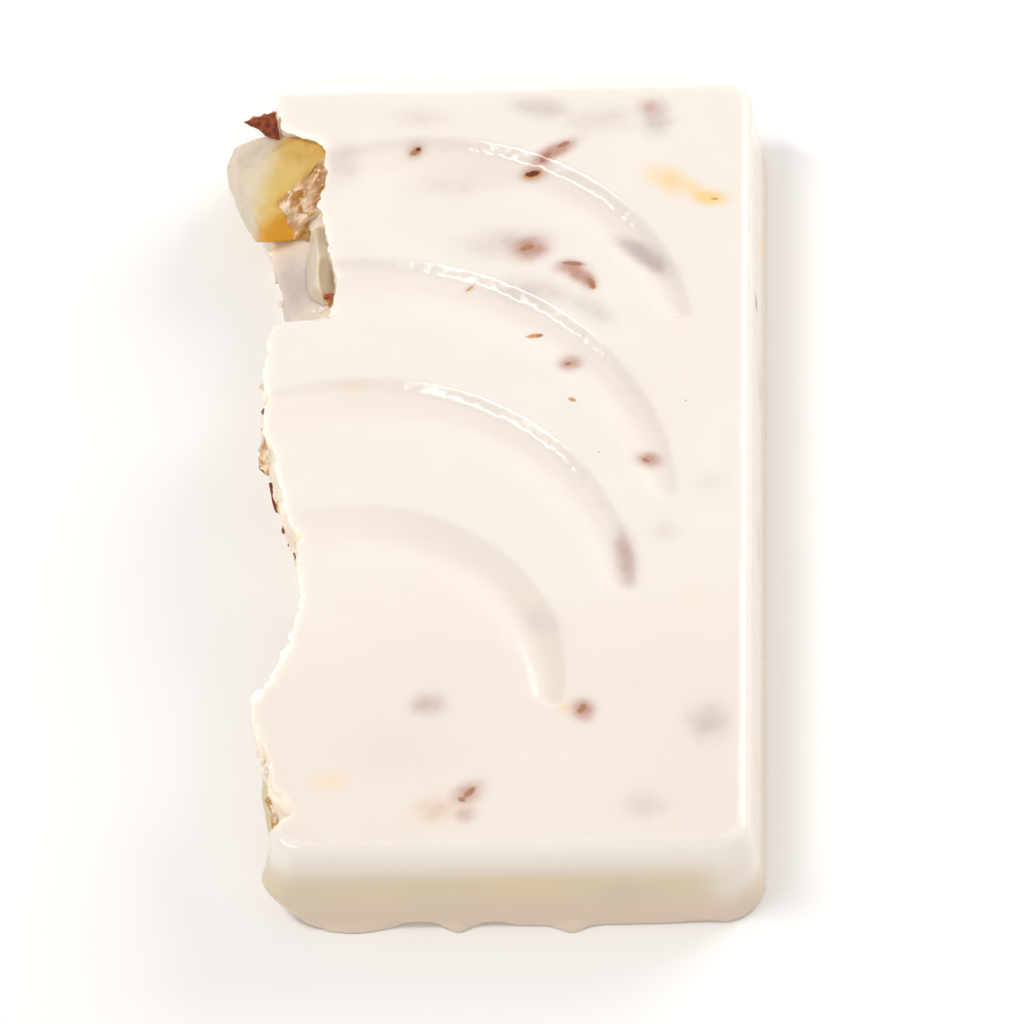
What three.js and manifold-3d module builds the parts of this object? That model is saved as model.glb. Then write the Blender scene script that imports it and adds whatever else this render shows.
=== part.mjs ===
// A piece of white chocolate bark with almonds: one end of a moulded bar, snapped off along
// its left side. Three sides are the mould's own drafted walls, the fourth is the break, where
// chopped almonds stand in the chocolate. Millimetres, +Z up, lying on its poured back.
import * as THREE from "three";
import { mergeVertices } from "three/addons/utils/BufferGeometryUtils.js";
import Module from "manifold-3d";

// Driving dimensions of the bar.
const length = 81.4; // along Y, over the two moulded ends at the base
const thickness = 9.6;
const nearEnd = -40; // the near moulded end at the base, measured from the bar's own zero
const farEnd = nearEnd + length;
const rightEdge = 20; // the moulded long side at the base
const draft = 0.115; // how far the mould's walls lean in for each millimetre of height
const rimRadius = 1; // rounding between a wall and the moulded face
const cornerRadiusTop = 2; // upright corners, seen from above
const cornerRadiusBase = 3.8; // the corners fill less where the chocolate was poured
const reliefDepth = 0.85; // depth of the wave relief in the moulded face
const gap = 0.3; // between an almond and the chocolate round it

// The break, from the far end to the near end. At each y it runs through three heights:
// the edge of the moulded face, a shelf or hollow partway down, and the foot.
const shelfHeight = 4.2;
const breakStations = [
  // y, edge x, shelf x, foot x
  [farEnd, -21.3, -22.3, -22.2],
  [38.9, -21.0, -22.3, -22.3],
  [37.9, -20.6, -22.7, -22.5],
  [37.0, -19.4, -23.3, -22.8],
  [36.4, -18.0, -23.5, -22.8],
  [35.4, -17.3, -23.7, -22.8],
  [29.5, -17.2, -22.4, -21.9],
  [27, -16.6, -21.6, -21.2],
  [24, -16.3, -21.0, -20.7],
  [19.5, -15.9, -19.8, -20.4],
  [16.7, -16.5, -19.9, -20.6],
  [15.7, -20.6, -20.9, -20.8],
  [10, -21.7, -21.3, -20.9],
  [5, -21.2, -21.4, -20.7],
  [1, -20.5, -20.6, -19.6],
  [-4, -19.6, -19.1, -18.4],
  [-9.5, -18.0, -17.9, -17.2],
  [-15, -17.9, -17.3, -17.0],
  [-20.5, -19.2, -18.3, -17.6],
  [-25.5, -21.4, -20.1, -18.6],
  [-29, -20.6, -20.3, -18.8],
  [-33, -19.6, -19.6, -18.7],
  [-36.3, -18.4, -20.2, -18.2],
  [-38.3, -20.3, -20.9, -17.4],
  [nearEnd, -20.6, -20.5, -16.6],
];
const breakPoints = 58; // points along the break in each outline
const shelfPower = 2.2; // above the shelf the break drops steeply, then runs out
const footPower = 1.6;

// Beads and chips along the near base edge, where the poured back met the mould's rim:
// [centre x, half width, how far the edge moves in (out if negative)].
const baseChips = [
  [-13.5, 2.4, -0.5],
  [-8.2, 1.5, 1.0],
  [-5.0, 1.1, -0.6],
  [-2.2, 1.4, 0.5],
  [4.2, 1.3, -0.8],
  [15.0, 2.0, 0.2],
];
const chipHeight = 0.9;

// Heights of the outlines that are stacked into the slab, below the rounded rim.
const wallHeights = [0, 0.5, 1.1, 2.4, shelfHeight, 5.4, 6.5, 7.6];
const rimSteps = 3;

// The four crescents of the wave relief: their outer edge is an arc round a centre, from a
// pointed tip on the right to the break on the left. Angles are in degrees from +X.
const crescents = [
  { centre: [-8.7, 11.9], radius: 23.2, tip: 7, end: 128, fullness: 1.2 },
  { centre: [-13.9, -4.9], radius: 27.1, tip: 2, end: 114, fullness: 1.03 },
  { centre: [-13.5, -13.8], radius: 23.3, tip: 0.5, end: 122, fullness: 1.05 },
  { centre: [-13.9, -21.7], radius: 18, tip: -10.5, end: 117, fullness: 1 },
];
const crescentTipWidth = 1.6;
const crescentWidth = 5.8;
const crescentWidening = 3.7; // how much wider than its tip a crescent is after a quarter turn
const crescentTipLength = 0.05; // share of a quarter turn over which the tip rounds off
const crescentBluntness = 0.12; // width left at the very tip, as a share
const crescentSteps = 20;

// Almonds in the break: half axes, then the flats that chopping left, as [normal, distance],
// with distance a share of the half axes. The turn is about Z, in degrees, and a fullness above
// 2 fills the corners of the ball that the almond is cut from.
const almonds = {
  almond_chunk: {
    centre: [-20.8, 32.6, 5.1],
    halfAxes: [4.9, 6.5, 4.1],
    fullness: 4.2,
    turn: 14,
    flats: [
      [[-0.22, -0.32, 0.92], 0.6],
      [[-0.9, 0.33, 0.29], 0.84],
      [[0.12, -0.81, 0.57], 0.635],
      [[-0.97, -0.2, 0.1], 0.7],
      [[-0.17, -0.88, -0.44], 0.7],
      [[0.24, 0.97, 0.06], 0.85],
      [[-0.35, 0.6, 0.72], 0.76],
      [[-0.7, -0.1, -0.7], 0.86],
    ],
  },
  almond_sliver: {
    centre: [-17.2, 23.6, 6.1],
    halfAxes: [1.6, 3.9, 2.9],
    turn: 4,
    flats: [
      [[-1, 0.1, 0.5], 0.6],
      [[0.6, -0.6, 0.7], 0.7],
      [[0.4, 0.3, 1], 0.78],
      [[-0.4, -0.9, -0.1], 0.8],
    ],
  },
  almond_side: {
    centre: [-20.8, 6.6, 5.2],
    halfAxes: [1.8, 3.7, 3.0],
    turn: -3,
    flats: [
      [[-1, 0.1, 0.15], 0.56],
      [[-0.3, 0.9, 0.5], 0.7],
      [[-0.1, -0.5, -1], 0.66],
      [[0, -0.8, 0.7], 0.8],
    ],
  },
  almond_half: {
    centre: [-16.9, -14.2, 4.7],
    halfAxes: [2.2, 5.9, 3.5],
    turn: 4,
    flats: [
      [[-1, 0.05, 0.1], 0.5],
      [[-0.2, -0.5, -1], 0.62],
      [[-0.1, -1, 0.35], 0.72],
      [[0, 0.9, 0.5], 0.76],
    ],
  },
  almond_corner: {
    centre: [-19.3, -31, 5.2],
    halfAxes: [1.8, 3.9, 2.7],
    turn: 9,
    flats: [
      [[-1, -0.1, 0.2], 0.7],
      [[-0.1, 1, -0.3], 0.66],
      [[-0.3, -0.6, 1], 0.72],
      [[0, -0.7, -0.7], 0.74],
    ],
  },
};
const almondDetail = 4; // subdivisions of each almond's surface
const leastFacing = 0.05; // a flat doesn't cut what faces it less than this

// A flake of almond skin that stands behind the large chunk, at the far end of the break.
const skinFlake = {
  outline: [[-1.55, 0.4], [-0.4, -0.3], [0.65, -1.1], [1.5, -1.25], [1.2, 1.2], [-0.6, 0.75]],
  reach: 1.5, // from the middle of the outline to its corners
  depth: 0.7,
  centre: [-22.5, 37.6, 8.4],
  lean: 54, // from lying flat towards standing, in degrees
};

const wasm = await Module();
wasm.setup();

const colours = {
  chocolate: 0xf2e8d8,
  almond: 0xd9b678,
  almondPale: 0xe2d2b0,
  skin: 0x7a2b0c,
};

function mix(a, b, t) {
  return a + (b - a) * t;
}

function smooth(t) {
  const s = Math.min(Math.max(t, 0), 1);
  return s * s * (3 - 2 * s);
}

// Small unevenness of a broken surface, in millimetres.
function crumble(y, z) {
  return (
    0.12 * Math.sin(1.3 * y + 0.5 * z) +
    0.06 * Math.sin(3.7 * y - 1.1 * z + 1) +
    0.08 * Math.sin(0.8 * y + 1.9 * z + 2.4)
  );
}

const weldDistance = 1e-4; // points closer than this are one point

function toManifold(geometry) {
  const bare = geometry.clone();
  bare.deleteAttribute("normal");
  bare.deleteAttribute("uv");
  const merged = mergeVertices(bare, weldDistance);
  return new wasm.Manifold(
    new wasm.Mesh({
      numProp: 3,
      vertProperties: new Float32Array(merged.attributes.position.array),
      triVerts: new Uint32Array(merged.index.array),
    }),
  );
}

function toGeometry(solid) {
  const mesh = solid.getMesh();
  const geometry = new THREE.BufferGeometry();
  geometry.setAttribute("position", new THREE.BufferAttribute(mesh.vertProperties, 3));
  geometry.setIndex(new THREE.BufferAttribute(mesh.triVerts, 1));
  return geometry;
}

// A closed geometry from loops of equal length, each stacked on the last, with both ends
// closed flat. The loops run anticlockwise round the direction they are stacked in.
function stackLoops(loops, project) {
  const count = loops[0].length;
  const positions = loops.flat().flatMap((p) => [p.x, p.y, p.z]);
  const indices = [];
  for (let ring = 0; ring < loops.length - 1; ring++) {
    for (let i = 0; i < count; i++) {
      const next = (i + 1) % count;
      const low = ring * count;
      const high = low + count;
      indices.push(low + i, low + next, high + next, low + i, high + next, high + i);
    }
  }
  const last = (loops.length - 1) * count;
  const endCaps = [
    [loops[0], 0, true],
    [loops[loops.length - 1], last, false],
  ];
  for (const [loop, start, reversed] of endCaps) {
    for (const [a, b, c] of THREE.ShapeUtils.triangulateShape(loop.map(project), [])) {
      indices.push(start + a, start + (reversed ? c : b), start + (reversed ? b : c));
    }
  }
  const geometry = new THREE.BufferGeometry();
  geometry.setAttribute("position", new THREE.Float32BufferAttribute(positions, 3));
  geometry.setIndex(indices);
  return geometry;
}

function breakCurve(column, height) {
  const points = breakStations.map((row) => new THREE.Vector3(row[column], row[0], height));
  return new THREE.CatmullRomCurve3(points, false, "centripetal");
}

const edgeCurve = breakCurve(1, thickness);
const shelfCurve = breakCurve(2, shelfHeight);
const footCurve = breakCurve(3, 0);

const calmPoints = 3; // points at each end of the break over which it gets less uneven
const calmest = 0.3; // share of the unevenness left at its ends

// The break's line at one height, from the far end to the near end, with its ends pulled in
// as far as the moulded walls are there.
function breakLine(height, inset) {
  const above = height >= shelfHeight;
  const share = above
    ? ((thickness - height) / (thickness - shelfHeight)) ** shelfPower
    : (1 - height / shelfHeight) ** footPower;
  const line = [];
  for (let i = 0; i <= breakPoints; i++) {
    const t = edgeCurve.getUtoTmapping(i / breakPoints);
    const shelf = shelfCurve.getPoint(t);
    const point = above
      ? edgeCurve.getPoint(t).lerp(shelf, share)
      : shelf.lerp(footCurve.getPoint(t), share);
    const fade = smooth(Math.min(i, breakPoints - i) / calmPoints);
    point.x += crumble(point.y, height) * mix(calmest, 1, fade);
    point.y = mix(nearEnd + inset, farEnd - inset, (point.y - nearEnd) / length);
    point.z = height;
    line.push(point);
  }
  return line;
}

function baseChip(x, height) {
  const fade = 1 - smooth(height / chipHeight);
  const moved = baseChips.map(([centre, half, depth]) => depth * Math.exp(-(((x - centre) / half) ** 2)));
  return fade * moved.reduce((sum, value) => sum + value, 0);
}

function cornerArc(centreX, centreY, radius, fromDegrees, height) {
  const arc = [];
  const steps = 5;
  for (let i = 0; i <= steps; i++) {
    const angle = THREE.MathUtils.degToRad(fromDegrees + (90 * i) / steps);
    const x = centreX + radius * Math.cos(angle);
    const y = centreY + radius * Math.sin(angle);
    arc.push(new THREE.Vector3(x, y, height));
  }
  return arc;
}

// The slab's outline at one height: near wall, right wall, far wall, then the break.
function slabOutline(height, inset) {
  const radius = mix(cornerRadiusBase, cornerRadiusTop, height / thickness);
  const right = rightEdge - inset;
  const near = nearEnd + inset;
  const far = farEnd - inset;
  const broken = breakLine(height, inset);
  const nearLeft = broken[broken.length - 1].x;
  const farLeft = broken[0].x;
  const nearSteps = 30;
  const longSteps = 6;
  const farSteps = 6;
  const outline = [];
  for (let i = 1; i < nearSteps; i++) {
    const x = mix(nearLeft, right - radius, i / nearSteps);
    outline.push(new THREE.Vector3(x, near + baseChip(x, height), height));
  }
  outline.push(...cornerArc(right - radius, near + radius, radius, -90, height));
  for (let i = 1; i < longSteps; i++) {
    const y = mix(near + radius, far - radius, i / longSteps);
    outline.push(new THREE.Vector3(right, y, height));
  }
  outline.push(...cornerArc(right - radius, far - radius, radius, 0, height));
  for (let i = 1; i < farSteps; i++) {
    outline.push(new THREE.Vector3(mix(right - radius, farLeft, i / farSteps), far, height));
  }
  outline.push(...broken);
  return outline;
}

function makeSlab() {
  const loops = wallHeights.map((height) => slabOutline(height, draft * height));
  for (let i = 0; i <= rimSteps; i++) {
    const angle = (Math.PI / 2) * (i / rimSteps);
    const height = thickness - rimRadius + rimRadius * Math.sin(angle);
    loops.push(slabOutline(height, draft * height + rimRadius * (1 - Math.cos(angle))));
  }
  return stackLoops(loops, (p) => new THREE.Vector2(p.x, p.y));
}

// One crescent, as the solid that is taken out of the face. Its section has a steep outer
// wall, a round bottom, and a floor that climbs slowly back to the face on the inner side.
function makeCrescent({ centre, radius, tip, end, fullness }) {
  const headroom = 1;
  const section = [
    [-0.08, headroom],
    [0, 0],
    [0.05, -0.45],
    [0.12, -0.88],
    [0.22, -1],
    [0.45, -0.84],
    [0.7, -0.45],
    [0.88, -0.13],
    [1, 0],
    [1.1, headroom],
  ];
  const loops = [];
  for (let i = 0; i <= crescentSteps; i++) {
    const along = (i / crescentSteps) ** 1.5; // closer steps near the tip
    const angle = THREE.MathUtils.degToRad(mix(tip, end, along));
    const quarter = ((end - tip) * along) / 90;
    const roundTip = Math.sqrt(1 - (1 - Math.min(quarter / crescentTipLength, 1)) ** 2);
    const broad = crescentTipWidth + crescentWidening * fullness * quarter ** 0.6;
    const width = Math.min(broad, crescentWidth) * Math.max(roundTip, crescentBluntness);
    const tipFade = mix(0.25, 1, smooth(quarter / 0.3)); // shallow at the tip
    const breakFade = mix(1, 0.7, smooth(quarter - 0.5)); // and a little shallower towards the break
    const depth = reliefDepth * tipFade * breakFade;
    loops.push(
      section.map(([across, level]) => {
        const reach = radius - width * across;
        const x = centre[0] + reach * Math.cos(angle);
        const y = centre[1] + reach * Math.sin(angle);
        const z = thickness + (level > 0 ? level : level * depth);
        return new THREE.Vector3(x, y, z);
      }),
    );
  }
  const project = (p) => {
    const across = Math.hypot(p.x - centre[0], p.y - centre[1]);
    return new THREE.Vector2(-across, p.z);
  };
  return stackLoops(loops, project);
}

// A chopped almond: a ball with three half axes, cut by flats. grow makes it larger all round.
function makeAlmond({ centre, halfAxes, fullness = 2, turn, flats }, grow = 0) {
  const geometry = new THREE.IcosahedronGeometry(1, almondDetail);
  const position = geometry.attributes.position;
  const direction = new THREE.Vector3();
  const planes = flats.map(([normal, distance]) => [new THREE.Vector3(...normal).normalize(), distance]);
  for (let i = 0; i < position.count; i++) {
    direction.fromBufferAttribute(position, i).normalize();
    const powers = direction.toArray().map((value) => Math.abs(value) ** fullness);
    let reach = powers.reduce((sum, value) => sum + value, 0) ** (-1 / fullness);
    for (const [normal, distance] of planes) {
      const facing = normal.dot(direction);
      if (facing > leastFacing) reach = Math.min(reach, distance / facing);
    }
    const [a, b, c] = halfAxes.map((axis) => axis * reach + grow);
    position.setXYZ(i, direction.x * a, direction.y * b, direction.z * c);
  }
  geometry.rotateZ(THREE.MathUtils.degToRad(turn));
  geometry.translate(...centre);
  return geometry;
}

function makeFlake({ outline, reach, depth, centre, lean }, grow = 0) {
  const stretch = (value) => value * (1 + grow / reach);
  const shape = new THREE.Shape(outline.map(([x, y]) => new THREE.Vector2(stretch(x), stretch(y))));
  const geometry = new THREE.ExtrudeGeometry(shape, {
    depth: depth + 2 * grow,
    bevelEnabled: false,
    steps: 1,
  });
  geometry.translate(0, 0, -depth / 2 - grow);
  geometry.rotateX(THREE.MathUtils.degToRad(lean));
  geometry.translate(...centre);
  return geometry;
}

function finish(name, solid, colour, roughness) {
  const material = new THREE.MeshStandardMaterial({ color: colour, roughness, metalness: 0 });
  const mesh = new THREE.Mesh(toGeometry(solid), material);
  mesh.name = name;
  return mesh;
}

function makeBark() {
  const piece = new THREE.Group();
  let chocolate = toManifold(makeSlab());
  for (const crescent of crescents) {
    chocolate = chocolate.subtract(toManifold(makeCrescent(crescent)));
  }
  let flake = toManifold(makeFlake(skinFlake));
  chocolate = chocolate.subtract(toManifold(makeFlake(skinFlake, gap)));
  for (const [name, almond] of Object.entries(almonds)) {
    const pocket = toManifold(makeAlmond(almond, gap));
    chocolate = chocolate.subtract(pocket);
    if (name === "almond_chunk") flake = flake.subtract(pocket);
    const colour = name === "almond_chunk" ? colours.almond : colours.almondPale;
    piece.add(finish(name, toManifold(makeAlmond(almond)), colour, 0.5));
  }
  piece.add(finish("almond_skin", flake, colours.skin, 0.7));
  piece.add(finish("chocolate", chocolate, colours.chocolate, 0.35));
  return piece;
}

// The origin is at the middle of the whole piece's box, on the surface that it lies on.
const bark = makeBark();
const box = new THREE.Box3().setFromObject(bark);
const middle = box.getCenter(new THREE.Vector3());
bark.position.set(-middle.x, -middle.y, -box.min.z);

export default bark;
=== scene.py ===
import math
import random

import bpy
import numpy as np
from mathutils import Matrix, Vector


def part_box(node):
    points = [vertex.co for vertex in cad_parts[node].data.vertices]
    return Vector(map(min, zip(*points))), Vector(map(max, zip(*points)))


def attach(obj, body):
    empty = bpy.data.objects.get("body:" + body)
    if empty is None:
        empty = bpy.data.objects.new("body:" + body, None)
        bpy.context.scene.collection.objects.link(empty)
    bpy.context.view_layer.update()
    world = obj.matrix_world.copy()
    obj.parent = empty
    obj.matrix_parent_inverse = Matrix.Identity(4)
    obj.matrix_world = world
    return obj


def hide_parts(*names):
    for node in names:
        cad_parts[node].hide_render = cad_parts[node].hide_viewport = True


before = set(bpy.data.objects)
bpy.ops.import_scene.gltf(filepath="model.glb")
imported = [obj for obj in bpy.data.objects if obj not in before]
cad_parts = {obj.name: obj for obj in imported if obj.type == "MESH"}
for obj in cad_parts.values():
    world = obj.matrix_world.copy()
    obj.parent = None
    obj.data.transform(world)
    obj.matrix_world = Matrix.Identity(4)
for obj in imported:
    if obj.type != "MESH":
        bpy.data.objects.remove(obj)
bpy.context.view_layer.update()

# A piece of white chocolate almond bark: three moulded sides, one broken side with almonds in it.
# Places are in millimetres from the bar's own zero, and go into the frame when a mesh is written.

mm = 0.001

bar = {
    "length": 81.4,
    "thickness": 9.6,
    "nearEnd": -40.0,
    "farEnd": 41.4,
    "rightEdge": 20.0,
    "draft": 0.115,  # lean of the moulded walls, for each mm of height
    "rim": 1.0,  # rounding between wall and face
    "cornerTop": 2.0,
    "cornerBase": 3.8,
    "baseRound": 0.35,
    "lobeRound": 2.2,  # the near left corner, where the break starts
    "lobeEnd": -36.6,
    "columns": 104,
    "rows": 256,
    "cornerRows": 12,
    "rimLoops": 7,
    "wallLoops": 25,
    "baseLoops": 3,
    "backColumns": 44,
    "backRows": 88,
}

chocolateLow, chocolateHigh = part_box("chocolate")
barZero = np.array([
    chocolateHigh[0] / mm - bar["rightEdge"],
    chocolateHigh[1] / mm - bar["farEnd"],
    chocolateLow[2] / mm,
])


def deselectAll():
    if bpy.context.object and bpy.context.object.mode != "OBJECT":
        bpy.ops.object.mode_set(mode="OBJECT")
    bpy.ops.object.select_all(action="DESELECT")


def makeActive(piece):
    deselectAll()
    piece.select_set(True)
    bpy.context.view_layer.objects.active = piece


def nameIt(name):
    piece = bpy.context.object
    piece.name = name
    piece.data.name = name
    return piece


def readPoints(piece):
    flat = np.empty(len(piece.data.vertices) * 3)
    piece.data.vertices.foreach_get("co", flat)
    return flat.reshape(-1, 3)


def writePoints(piece, points):
    piece.data.vertices.foreach_set("co", np.ascontiguousarray(points).ravel())
    piece.data.update()


def readNormals(piece):
    flat = np.empty(len(piece.data.vertices) * 3)
    piece.data.vertices.foreach_get("normal", flat)
    return flat.reshape(-1, 3)


def toFrame(points):  # bar millimetres to metres in the frame
    return (points + barZero) * mm


def toBar(points):
    return points / mm - barZero


def paint(piece, name, values):  # a vertex attribute for the materials to read
    layer = piece.data.attributes.new(name, "FLOAT", "POINT")
    layer.data.foreach_set("value", np.asarray(values, dtype=np.float32))


def smooth(t):
    t = np.clip(t, 0, 1)
    return t * t * (3 - 2 * t)


def mix(a, b, t):
    return a + (b - a) * t


def cellKey(cells):  # a whole number for each cell, with no pattern in it
    key = cells @ np.array([73856093, 19349663, 83492791])  # large primes
    key = (key ^ (key >> 13)) * 1274126177
    return key ^ (key >> 16)


def softNoise(points, size, seed):  # smooth lumps about size mm across, from -1 to 1
    cell = points / size + 17.3 * seed
    base = np.floor(cell)
    part = cell - base
    part = part * part * (3 - 2 * part)
    base = base.astype(np.int64)
    total = np.zeros(len(points))
    for corner in np.ndindex(2, 2, 2):
        value = (cellKey(base + corner) & 65535) / 32767.5 - 1
        weight = np.prod(np.where(corner, part, 1 - part), axis=1)
        total += weight * value
    return total


def layeredNoise(points, size, seed, layers=3):
    total = np.zeros(len(points))
    for layer in range(layers):
        total += softNoise(points, size / 2 ** layer, seed + layer) * 0.55 ** layer
    return total


def ridges(points, size, seed):  # sharp crests at 1, hollows near 0
    return 1 - np.abs(softNoise(points, size, seed)) * 2


def facets(points, size, seed):  # flat tilted faces about size mm across, each at its own level
    cell = points / size + 11.7 * seed
    base = np.floor(cell).astype(np.int64)
    nearest = np.full(len(points), np.inf)
    total = np.zeros(len(points))
    for step in np.ndindex(3, 3, 3):
        key = cellKey(base + step - 1)
        share = np.stack([(key >> shift) & 1023 for shift in (0, 10, 20, 5)], axis=1) / 1023
        away = cell - (base + step - 1 + share[:, :3])
        distance = (away ** 2).sum(axis=1)
        closer = distance < nearest
        nearest = np.where(closer, distance, nearest)
        level = 2 * share[:, 3] - 1 + ((2 * share[:, [1, 2, 0]] - 1) * away).sum(axis=1)
        total = np.where(closer, level, total)
    return total


def turnOutwards(piece):
    makeActive(piece)
    bpy.ops.object.mode_set(mode="EDIT")
    bpy.ops.mesh.select_all(action="SELECT")
    bpy.ops.mesh.normals_make_consistent(inside=False)
    bpy.ops.object.mode_set(mode="OBJECT")


def hand(piece, finish, slotName, *nodes):  # material, slot name (not used), body and what it stands for
    piece.data.materials.clear()
    piece.data.materials.append(finish)
    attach(piece, "root")
    if nodes:
        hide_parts(*nodes)


def tint(red, green, blue):  # screen colour 0-255 to the linear value a socket takes
    shares = [v / 255 for v in (red, green, blue)]
    linear = [v / 12.92 if v <= 0.04045 else ((v + 0.055) / 1.055) ** 2.4 for v in shares]
    return (*linear, 1.0)


def addNode(tree, kind, inputs=None, **settings):
    node = tree.nodes.new(kind)
    for key, value in settings.items():
        setattr(node, key, value)
    for key, value in (inputs or {}).items():
        if isinstance(value, bpy.types.NodeSocket):
            tree.links.new(value, node.inputs[key])
        else:
            node.inputs[key].default_value = value
    return node


def addMaths(tree, operation, first, second=0.0):
    return addNode(tree, "ShaderNodeMath", {0: first, 1: second}, operation=operation).outputs[0]


def addMix(tree, factor, first, second):
    node = addNode(tree, "ShaderNodeMix", data_type="RGBA")
    for slotIndex, value in ((0, factor), (6, first), (7, second)):
        if isinstance(value, bpy.types.NodeSocket):
            tree.links.new(value, node.inputs[slotIndex])
        else:
            node.inputs[slotIndex].default_value = value
    return node.outputs[2]


def addRange(tree, value, low, high):  # 0 at low, 1 at high
    stretch = {"Value": value, "From Min": low, "From Max": high}
    return addNode(tree, "ShaderNodeMapRange", stretch).outputs["Result"]


def addSpread(tree, value, low, high):  # low at 0, high at 1
    stretch = {"Value": value, "To Min": low, "To Max": high}
    return addNode(tree, "ShaderNodeMapRange", stretch).outputs["Result"]


def addBump(tree, shader, height, depth, strength):
    settings = {"Height": height, "Distance": depth * mm, "Strength": strength}
    bump = addNode(tree, "ShaderNodeBump", settings)
    tree.links.new(bump.outputs["Normal"], shader.inputs["Normal"])


def setScatter(shader, weight, radius, depth):  # light that runs below the surface, depth in mm
    shader.inputs["Subsurface Weight"].default_value = weight
    shader.inputs["Subsurface Radius"].default_value = radius
    shader.inputs["Subsurface Scale"].default_value = depth * mm
    shader.subsurface_method = "BURLEY"


def readPaint(tree, name):
    return addNode(tree, "ShaderNodeAttribute", attribute_name=name).outputs["Fac"]


def newGroup(name, inputs, outputs):
    tree = bpy.data.node_groups.new(name, "ShaderNodeTree")
    for socketName, default in inputs:
        socket = tree.interface.new_socket(socketName, in_out="INPUT", socket_type="NodeSocketFloat")
        socket.default_value = default
    for socketName in outputs:
        tree.interface.new_socket(socketName, in_out="OUTPUT", socket_type="NodeSocketFloat")
    return tree, tree.nodes.new("NodeGroupInput"), tree.nodes.new("NodeGroupOutput")


def buildGrainGroup():  # coarse and fine noise in one place, sizes in mm
    sockets = [("Coarse", 4.0), ("Fine", 0.4), ("Detail", 3.0)]
    tree, given, gives = newGroup("grain", sockets, ["Coarse", "Fine"])
    place = addNode(tree, "ShaderNodeTexCoord").outputs["Object"]
    for name in ("Coarse", "Fine"):
        scale = addMaths(tree, "DIVIDE", 1000.0, given.outputs[name])
        grain = addNode(tree, "ShaderNodeTexNoise", {
            "Vector": place, "Scale": scale, "Detail": given.outputs["Detail"], "Roughness": 0.55})
        tree.links.new(grain.outputs["Fac"], gives.inputs[name])
    return tree


def buildFleckGroup():  # a painted field cut into a patch with a ragged edge
    sockets = [("Field", 0.0), ("Grain", 0.5), ("Edge", 0.0), ("Softness", 0.1), ("Ragged", 0.3)]
    tree, given, gives = newGroup("fleck", sockets, ["Mask"])
    push = addMaths(tree, "SUBTRACT", given.outputs["Grain"], 0.5)
    push = addMaths(tree, "MULTIPLY", push, given.outputs["Ragged"])
    inside = addNode(tree, "ShaderNodeClamp", {"Value": given.outputs["Field"]}).outputs["Result"]
    field = addMaths(tree, "ADD", given.outputs["Field"], addMaths(tree, "MULTIPLY", push, inside))
    low = addMaths(tree, "SUBTRACT", given.outputs["Edge"], given.outputs["Softness"])
    high = addMaths(tree, "ADD", given.outputs["Edge"], given.outputs["Softness"])
    step = addNode(tree, "ShaderNodeMapRange", {"Value": field, "From Min": low, "From Max": high},
                   interpolation_type="SMOOTHSTEP")
    tree.links.new(step.outputs["Result"], gives.inputs["Mask"])
    return tree


grainGroup = buildGrainGroup()
fleckGroup = buildFleckGroup()


def addGrain(tree, coarse, fine, detail=3.0):
    node = addNode(tree, "ShaderNodeGroup", node_tree=grainGroup)
    node.inputs["Coarse"].default_value = coarse
    node.inputs["Fine"].default_value = fine
    node.inputs["Detail"].default_value = detail
    return node.outputs["Coarse"], node.outputs["Fine"]


def addPatch(tree, colour, name, tone, grain, edge, softness, ragged):  # a painted patch, in its tone
    node = addNode(tree, "ShaderNodeGroup", node_tree=fleckGroup)
    tree.links.new(readPaint(tree, name), node.inputs["Field"])
    tree.links.new(grain, node.inputs["Grain"])
    for socketName, value in (("Edge", edge), ("Softness", softness), ("Ragged", ragged)):
        node.inputs[socketName].default_value = value
    return addMix(tree, node.outputs["Mask"], colour, tone)


def newMaterial(name):
    material = bpy.data.materials.new(name)
    material.use_nodes = True
    tree = material.node_tree
    tree.nodes.clear()
    end = tree.nodes.new("ShaderNodeOutputMaterial")
    shader = tree.nodes.new("ShaderNodeBsdfPrincipled")
    tree.links.new(shader.outputs["BSDF"], end.inputs["Surface"])
    return material, tree, shader


print("helpers ready")

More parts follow.
